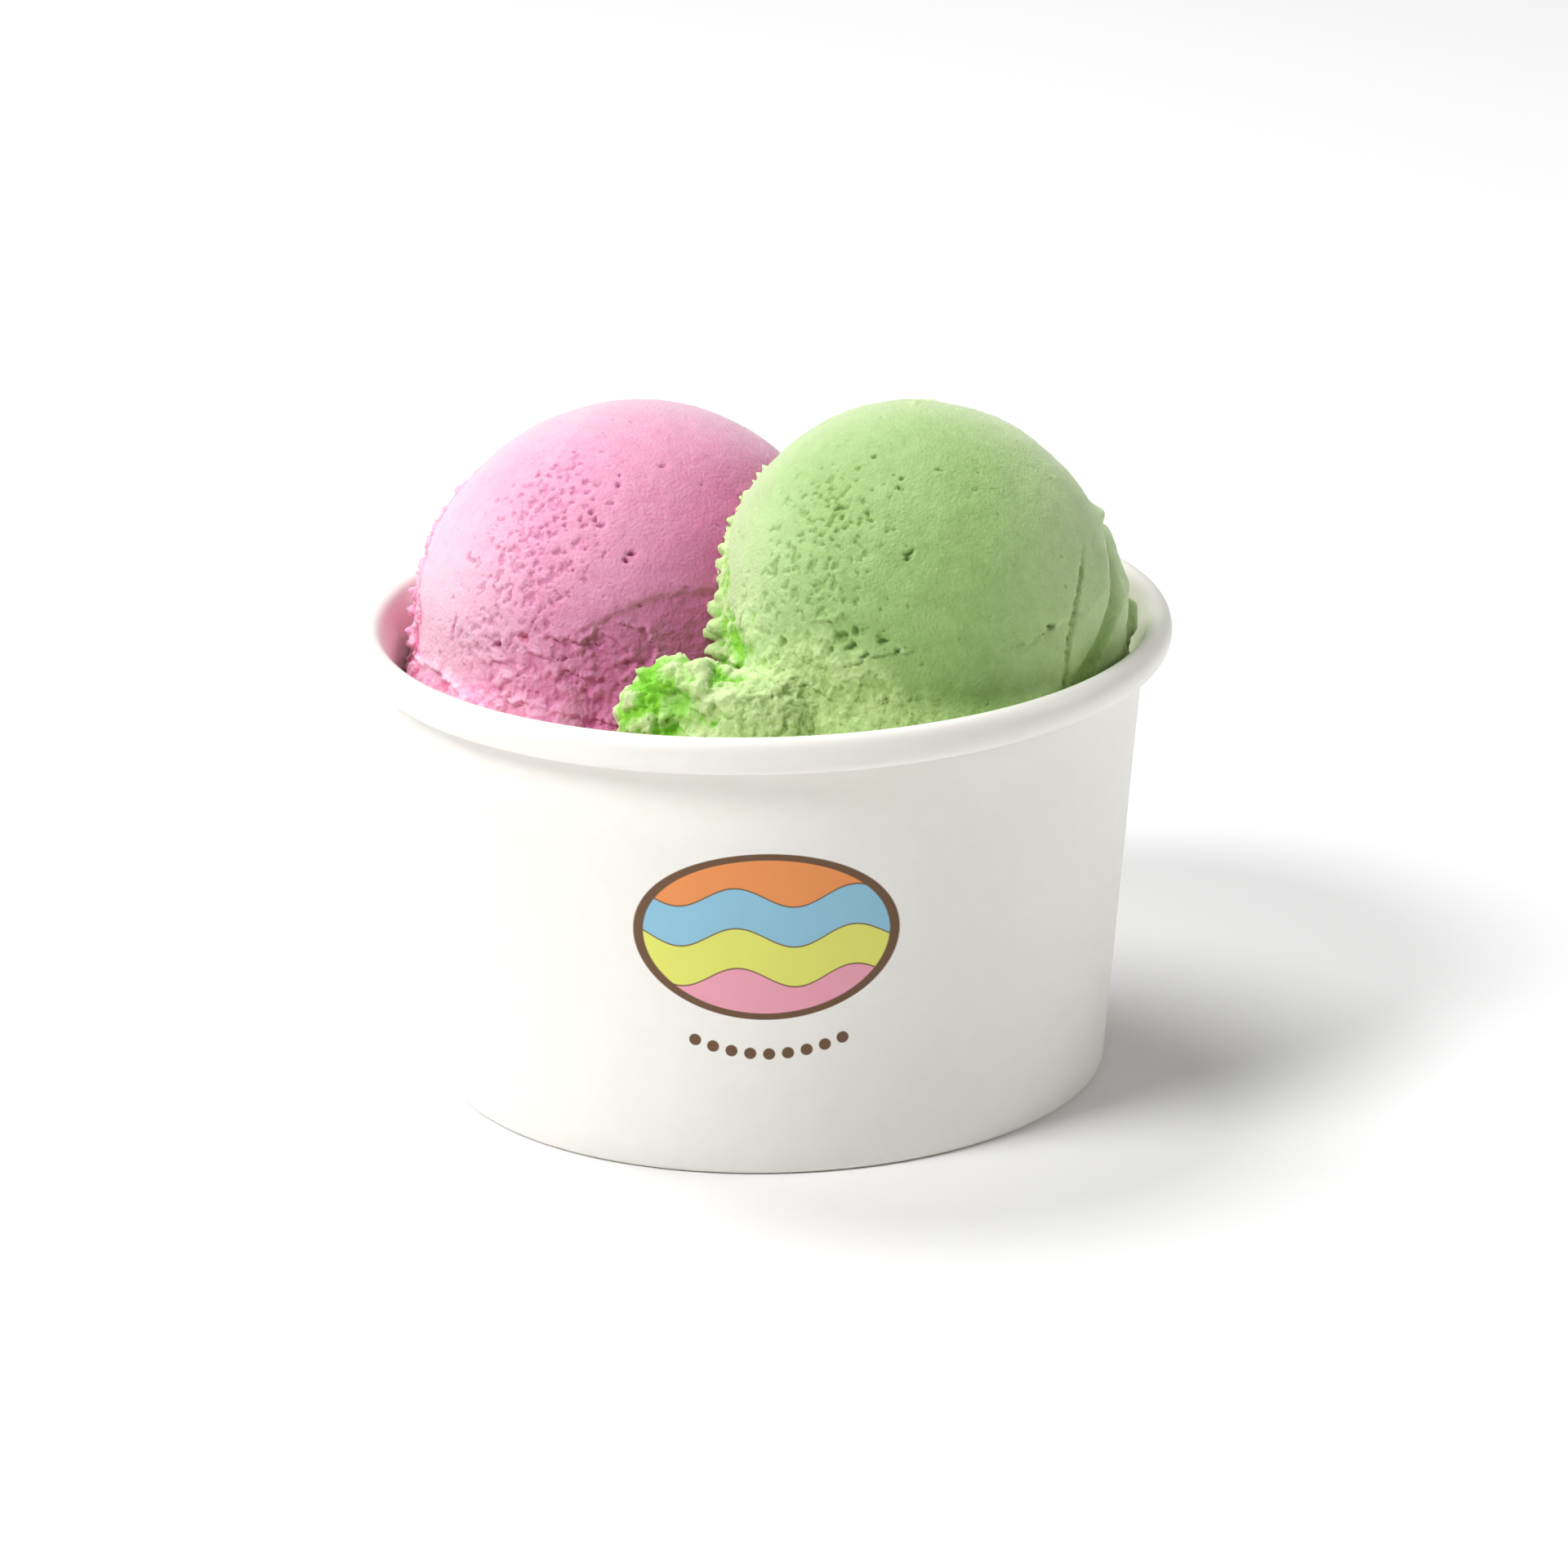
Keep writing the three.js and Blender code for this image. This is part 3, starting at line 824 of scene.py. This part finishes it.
def green_edge(height):
    """The direction of its ragged edge: on its own skin above, along the pink one below."""
    return np.maximum(limb(height, GREEN_RISE, GREEN_FACING), meeting_edge(height))


past = turn_gap(turn, green_edge(height))
seam_width = 9 + 9 * smooth(-height, -12, 0) + 3 * noise(points, 2.5, 25)
strip_part = smooth(seam_width - past, -1.0, 1.5) * smooth(past + 7 * noise(points, 4, 23), -26, -9)
strip_part *= smooth(-height, -18, -11) * smooth(height, -13, -9)
torn = np.maximum(torn, strip_part)

# Holes: thickest in a band down the left of the dome.
band = bell(turn_gap(turn, -126), 0, 28) * smooth(height, -2, 4) * (1 - smooth(height, 18, 25))
holes = pitting(points, 0.14 + 0.83 * band, 31) * (1 - torn)
deep_spots = spots(points, GREEN_MIDDLE, GREEN_RADIUS, GREEN_RISE, GREEN_SPOTS, 35)

lift = uneven(points, 41) - HOLE_DEPTH * holes - deep_spots
shelf = ledges(points, turn, height, GREEN_RADIUS, GREEN_LEDGES, 47)
lift += shelf
loose = bent(points, 2.6, 0.8, 50)
flaky = 0.4 * ridges(loose * (1, 1, 0.85), 1.3, 51) + 0.4 * flakes(points, 1.5, 52)
flaky += 0.4 * flakes(points, 0.8, 53)
distance, _ = crumbs(bent(points, 1.6, 0.7, 54), 3.1, 55)
lumpy = 1.0 - 2.0 * distance + 0.35 * flakes(points, 1.3, 58) + 0.20 * ridges(loose, 0.9, 59)
rag = flaky * (1 - tongue) + lumpy * tongue
rough = 0.36 + 0.22 * noise(points, 6, 56) + 0.55 * tongue
lift += torn * (rough * rag + 0.12 * tongue) - SEAM_DEPTH * strip_part

# The ragged edge at the left: nubs that grow longer towards the foot.
GREEN_NUBS = nubs(green_edge, -6.0, 18.0, 1.9, 61)
nub = spots(points, GREEN_MIDDLE, GREEN_RADIUS, GREEN_RISE, GREEN_NUBS, 62)
lift += nub

# The two drag grooves, the smooth step between them and the lobe beyond.
first = -45.3 + 0.35 * height + 0.115 * height ** 2
second = -28 + 3.4 * np.maximum(height, -4)
low_part = smooth(height, -9, -5)
thin_groove = bell(turn_gap(turn, first), 0, 1.2) * low_part * (1 - smooth(height, 8, 13))
broad_groove = bell(turn_gap(turn, second), 0, 7.5 - 0.3 * height) * low_part * (1 - smooth(height, 7, 11))
lift -= 0.45 * thin_groove * (0.4 + 1.9 * np.abs(noise(points, 0.8, 48))) + 1.25 * broad_groove
lift += 0.35 * bell(turn_gap(turn, (first + second) / 2), 0, 6) * low_part * (1 - smooth(height, 8, 12))
lift += 1.0 * bell(turn_gap(turn, second + 17), 0, 9) * low_part * (1 - smooth(height, 8.5, 10.5))
lift += 0.5 * bell(turn_gap(turn, second + 20), 0, 12) * low_part * noise(points, 1.9, 49)
lift += 0.9 * bell(np.linalg.norm((points - LOBE_FLAKE) / (1.6, 2.6, 0.8), axis=1), 0, 1)

# Painted light and shade: painted shade deep in holes, grooves, torn valleys and towards the
# front-right foot, painted glow in the tongue's and the seam's crevices, and a painted pale
# highlight round the sides, on the tongue, on torn crests and on ledge tops.
painted_shade = 0.5 * holes + 0.6 * deep_spots + 0.5 * torn * smooth(-rag, 0.1, 0.7) * (1 - tongue)
painted_shade += broad_groove * (0.35 + 0.6 * smooth(-height, -6, 2)) + 0.45 * thin_groove
# Painted shade: darker towards the foot at the front right.
painted_foot_shade = smooth(turn_gap(turn, -108), 0, 30) * (1 - smooth(turn_gap(turn, -20), 0, 40))
painted_shade += 0.35 * painted_foot_shade * smooth(-height, -9, 9)
cavity = bell(np.linalg.norm((points - TONGUE_CAVITY) / (2.0, 3.5, 2.6), axis=1), 0, 1)
lift -= 1.6 * cavity
notch = strip_part * (1 - smooth(nub, 0.1, 0.6)) * smooth(0.6 - rag, 0, 0.9)
# Painted glow in the tongue's crevices, its cavity and the seam's notches.
painted_glow = tongue * smooth(-rag, 0.0, 0.7) + cavity + notch * (0.35 + 0.6 * smooth(-height, -12, -2))
# Painted highlight: paler on the sides turned from the front, on the tongue, on torn crests and on ledge
# tops.
painted_highlight = painted_side_highlight(normals) * (1 - 0.8 * notch) * (1 - 0.6 * broad_groove) * (1 - 0.5 * torn)
painted_highlight += 0.5 * tongue + 0.5 * torn * smooth(rag, 0.0, 0.6) + 0.45 * smooth(shelf, 0.10, 0.40)
points = press_into_cup(waver(points + normals * (lift * shown)[:, None]))
green_skin = BVHTree.FromPolygons(points.tolist(), [tuple(f.vertices) for f in mesh.polygons])
settle(green, mesh, points, {"painted_highlight": painted_highlight, "torn": torn, "painted_glow": painted_glow, "painted_shade": painted_shade})
finish(green, GREEN_LOOK, "scoop_green")

# Pink scoop. The same foam with berry, pushed in first at the left and dented by the green
# one. It has a band of torn holes, a broad hollow with a sharp lip and a torn foot. Its
# lumps, holes and ledges are given as the green one's are.
CONTACT = 0.06
CONTACT_SHADE_REACH = 10.0
PINK_LUMPS = [
    ((-38, 2, 46), (4.5, 8, 5)),
    ((-33, -9, 45), (5.5, 7, 5)),
    ((-24, -16, 43.5), (7, 5, 5)),
]
PINK_SPOTS = [
    (-96, 23.1, 0.28, 0.40, 0.6, 0), (-96, 22.2, 0.28, 0.50, 0.7, 0), (-74, 23.6, 0.70, 0.22, 0.4, 0),
    (-60, 21.6, 0.30, 0.26, 0.4, 0), (-90, 15.9, 0.80, 0.30, 0.7, 25), (-92, 15.2, 0.45, 0.40, 0.8, 20),
    (-147, 19.2, 0.30, 0.60, 0.6, -15), (-146, 13.4, 0.35, 0.60, 0.6, 0),
    (-143.5, 13.1, 0.70, 0.35, 0.6, 0), (-144, 5.2, 0.26, 1.70, 0.9, -5),
    (-137, 22.3, 0.20, 0.80, 0.5, 25), (-128, 4.9, 0.85, 0.50, 0.9, 5), (-105, 19.8, 0.45, 0.45, 0.6, 0),
    (-103, 19.1, 0.40, 0.55, 0.7, 15), (-101, 18.6, 0.70, 0.28, 0.5, 0), (-108, 19.0, 0.30, 0.50, 0.5, 0),
    (-112, 25.8, 0.55, 0.22, 0.4, 0), (-75, 12.0, 0.60, 0.18, 0.35, 0), (-118, 26.0, 0.45, 0.20, 0.4, 10),
]
PINK_LEDGES = [
    (0.85, 1.8, 1.5, [(-172, 0.2), (-160, -0.8), (-150, -0.5), (-141, -1.1), (-134, -2.4)]),
    (0.70, 0.6, 1.0, [(-122, -1.2), (-112, -1.6)]),
    (0.75, 0.6, 1.0, [(-108, -1.9), (-99, -2.6), (-88, -3.4)]),
    (0.85, 0.8, 1.3, [(-110, 6.6), (-104, 6.3), (-99, 8.0), (-94, 6.6), (-91, 4.8)]),
    (0.65, 0.8, 1.0, [(-93, 8.6), (-87, 7.8), (-84, 5.8), (-86, 3.6)]),
    (0.50, 0.8, 0.8, [(-130, 2.6), (-125, 3.2)]),
    (0.50, 0.7, 0.8, [(-116, 4.8), (-112, 4.2), (-108, 4.4)]),
]
PINK_FACING = 91.0
PINK_CAVITIES = [
    (-147, -1.6, 1.50, 0.80, 1.0, 20), (-139, -2.6, 1.10, 0.60, 0.8, -15),
    (-176, 3.5, 1.20, 2.60, 0.8, 10), (-120, 6.2, 0.90, 0.50, 0.7, 0),
]
PINK_LOOK = gelato("strawberry_gelato", body="#E69BBB", pale="#F1B6D0", painted_highlight="#FFEAF2", frosty="#FDB0D2",
                   deep="#C8609A", lit="#EC6494", radius=(1.0, 0.45, 0.6))

form = bmesh.new()
add_ball(form, PINK_MIDDLE, (PINK_RADIUS, PINK_RADIUS, PINK_RISE), 6)
add_drum(form, PINK_MIDDLE, FOOT_LEVEL, PINK_MIDDLE.z - 2, PINK_RADIUS * 1.05, PINK_RADIUS * 1.02)
for lump_middle, lump_size in PINK_LUMPS:
    add_ball(form, lump_middle, lump_size)
add_fill(form, -1)
pink, mesh = melt_together(form, "pink_gelato_scoop")
points, normals = points_of(mesh), normals_of(mesh)
turn, height = turn_and_height(points, PINK_MIDDLE)
shown = smooth(points[:, 2], HIDDEN_BELOW, HIDDEN_BELOW + 1.5)

# Where it is torn: all round the foot, and higher at the front.
edge = -2 + 8.5 * bell(turn_gap(turn, -104), 0, 28) + 1.8 * noise(points, 4, 22)
torn = smooth(edge - height, -2.5, 1.5)


def pink_edge(height):
    """The direction of its ragged edge."""
    return limb(height, PINK_RISE, PINK_FACING)


past = turn_gap(turn, pink_edge(height))
seam_width = 10 + 8 * smooth(-height, -14, 0) + 3 * noise(points, 2.5, 26)
strip_part = smooth(seam_width - past, -1.5, 2.0) * smooth(past + 7 * noise(points, 4, 24), -26, -9)
strip_part *= smooth(-height, -23, -15) * smooth(height, -13, -9)
torn = np.maximum(torn, strip_part)

# Holes: thickest in a band down the left of the dome, as on the green one.
band = bell(turn_gap(turn, -124), 0, 24) * smooth(height, -2, 3) * (1 - smooth(height, 23, 27.5))
holes = pitting(points, 0.14 + 0.85 * band, 32) * (1 - torn)
deep_spots = spots(points, PINK_MIDDLE, PINK_RADIUS, PINK_RISE, PINK_SPOTS, 36)

lift = uneven(points, 84) - HOLE_DEPTH * holes - deep_spots
shelf = ledges(points, turn, height, PINK_RADIUS, PINK_LEDGES, 88)
lift += shelf
loose = bent(points, 2.6, 0.8, 70)
rag = 0.3 * ridges(loose * (1, 1, 0.8), 1.5, 71) + 0.5 * flakes(points, 1.9, 73)
rag += 0.4 * flakes(points, 0.9, 77)
lift += torn * (0.50 + 0.35 * noise(points, 5, 72)) * rag - SEAM_DEPTH * strip_part

# The ragged edge at the left, and the deep hollows left where lumps came away.
PINK_NUBS = nubs(pink_edge, -4.0, 17.0, 1.2, 64)
nub = spots(points, PINK_MIDDLE, PINK_RADIUS, PINK_RISE, PINK_NUBS, 65)
cavity = spots(points, PINK_MIDDLE, PINK_RADIUS, PINK_RISE, PINK_CAVITIES, 69)
lift += nub - cavity

# The broad hollow under its lip, which the scooping tool left as it slid off.
jagged = 0.25 * noise(points, 1.1, 66) + 0.12 * noise(points, 0.5, 67)
lip = 12.1 - 0.0045 * turn_gap(turn, -74) ** 2 + jagged
below = smooth(turn_gap(turn, -112), 0, 14) * (1 - smooth(turn_gap(turn, -30), 0, 10))
below *= smooth(lip - height, 0, 0.9)
streaks = noise(points * (0.35, 0.35, 1), 0.9, 68) + 0.8 * noise(points, 0.6, 63)
dent = 0.42 + 0.09 * np.clip(lip - height, 0, 12) - 0.14 * streaks
lift -= below * dent * smooth(height, -8, -2)

# Painted shade, glow and highlight, as on the green scoop.
painted_shade = 0.4 * holes + 0.6 * deep_spots + 0.32 * torn * smooth(-rag, 0.1, 0.7) + 0.2 * below
notch = strip_part * (1 - smooth(nub, 0.1, 0.6)) * smooth(0.5 - rag, 0, 0.9)
# Painted glow in the seam's notches and the cavities.
painted_glow = notch * (0.5 + 0.5 * smooth(-height, -14, -2)) + 0.6 * cavity
# Painted highlight, as on the green scoop, with none under the lip.
painted_highlight = painted_side_highlight(normals) * (1 - below) * (1 - 0.8 * strip_part) * (1 - 0.5 * torn)
painted_highlight += 0.7 * torn * smooth(rag, 0.0, 0.6) + 0.3 * smooth(shelf, 0.12, 0.45)
points = press_into_cup(waver(points + normals * (lift * shown)[:, None]))

# The green scoop's dent: what would lie inside the green scoop is pressed back to its skin,
# and a painted shade darkens the pink beside it, fading with distance from the green one.
reach = np.linalg.norm(points - np.array(GREEN_MIDDLE), axis=1) < GREEN_RADIUS + 20
low_side = (points - np.array(meeting)) @ np.array(between) > -20
painted_contact_shade = np.zeros(len(points))
for k in np.flatnonzero((reach | low_side) & (points[:, 2] > BURIED_LEVEL)):
    skin, outward, _, away = green_skin.find_nearest(points[k])
    if (Vector(points[k]) - skin).dot(outward) < CONTACT:
        points[k] = skin + outward * CONTACT
        away = 0
    painted_contact_shade[k] = math.exp(-away / CONTACT_SHADE_REACH)
painted_shade += 1.05 * painted_contact_shade
beyond = (points - np.array(meeting)) @ np.array(between) + GAP / 2
beyond = np.clip(beyond, 0, None) * (points[:, 2] <= BURIED_LEVEL)
points -= beyond[:, None] * np.array(between)
settle(pink, mesh, points, {"painted_highlight": painted_highlight, "torn": torn, "painted_glow": painted_glow, "painted_shade": painted_shade})
finish(pink, PINK_LOOK, "scoop_pink")

# Studio. A pale matt floor and a white surround, a soft main lamp at the upper left, a broad
# one above and behind, and a weak one at the right that fills the cup's shaded side.
FLOOR_HALF = 4
FLOOR_CLOUD = 1000 / 3

form = bmesh.new()
bmesh.ops.create_grid(form, x_segments=1, y_segments=1, size=FLOOR_HALF)
floor = new_piece(form, "floor")


# Matt painted board: near white and even, with clouds too faint to catch the eye.
def pale_floor():
    material, place = new_material("matt_white_paint")
    clouds = add(material, "TexNoise", [("Vector", place)], Scale=per_metre(FLOOR_CLOUD))
    colour = add(material, "ValToRGB", [(0, clouds)], [(0.0, "#F7F7F7"), (1.0, "#FAFAFA")])
    paint = add(material, "BsdfPrincipled", [("Base Color", colour)], Roughness=0.9)
    add(material, "OutputMaterial", [("Surface", paint)])
    return material


floor.data.materials.append(pale_floor())
floor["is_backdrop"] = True

# Each lamp's name, its turn and rise in degrees, its width in metres and its watts.
LAMPS = [("key", 215, 47, 0.5, 12.0), ("back_top", 134, 63, 0.8, 11.8), ("side", 0, 24, 0.6, 4.1)]
LAMP_AWAY = 1.3
LAMP_TARGET = Vector((0, 0, 0.03))
for name, lamp_turn, lamp_rise, size, watts in LAMPS:
    lamp = bpy.data.lights.new(name, "AREA")
    lamp.shape = "DISK"
    lamp.size = size
    lamp.energy = watts
    holder = bpy.data.objects.new(name, lamp)
    around = math.radians(lamp_turn)
    up = math.radians(lamp_rise)
    away = Vector((math.cos(around) * math.cos(up), math.sin(around) * math.cos(up), math.sin(up)))
    holder.location = away * LAMP_AWAY
    holder.rotation_euler = (LAMP_TARGET - holder.location).to_track_quat("-Z", "Y").to_euler()
    bpy.context.scene.collection.objects.link(holder)

SURROUND = 0.105
world = bpy.data.worlds.new("white_surround")
world.use_nodes = True
world.node_tree.nodes["Background"].inputs["Color"].default_value = (1, 1, 1, 1)
world.node_tree.nodes["Background"].inputs["Strength"].default_value = SURROUND
bpy.context.scene.world = world
bpy.context.scene.view_settings.view_transform = "Standard"

# Camera: a long lens, looking down at the cup's front.
CAMERA_PLACE = (0, -0.8677, 0.3291)
VIEW_TURN = math.radians(0.12)
VIEW_DOWN = math.radians(18.79)
VIEW_ROLL = math.radians(-1.26)
camera = bpy.data.objects.new("camera", bpy.data.cameras.new("camera"))
camera.data.sensor_width = 36
camera.data.lens = 179.05
camera.data.clip_start = 0.01
camera.location = CAMERA_PLACE
view = Vector((math.sin(VIEW_TURN) * math.cos(VIEW_DOWN), math.cos(VIEW_TURN) * math.cos(VIEW_DOWN),
               -math.sin(VIEW_DOWN)))
roll_turn = Quaternion((0, 0, 1), VIEW_ROLL)
camera.rotation_euler = (view.to_track_quat("-Z", "Y") @ roll_turn).to_euler()
bpy.context.scene.collection.objects.link(camera)
bpy.context.scene.camera = camera


def corners(box):
    """The low and high corner of a box as plain lists."""
    return [[float(x) for x in corner] for corner in box]


{"cad": corners(cad_box), "visual": corners(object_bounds())}
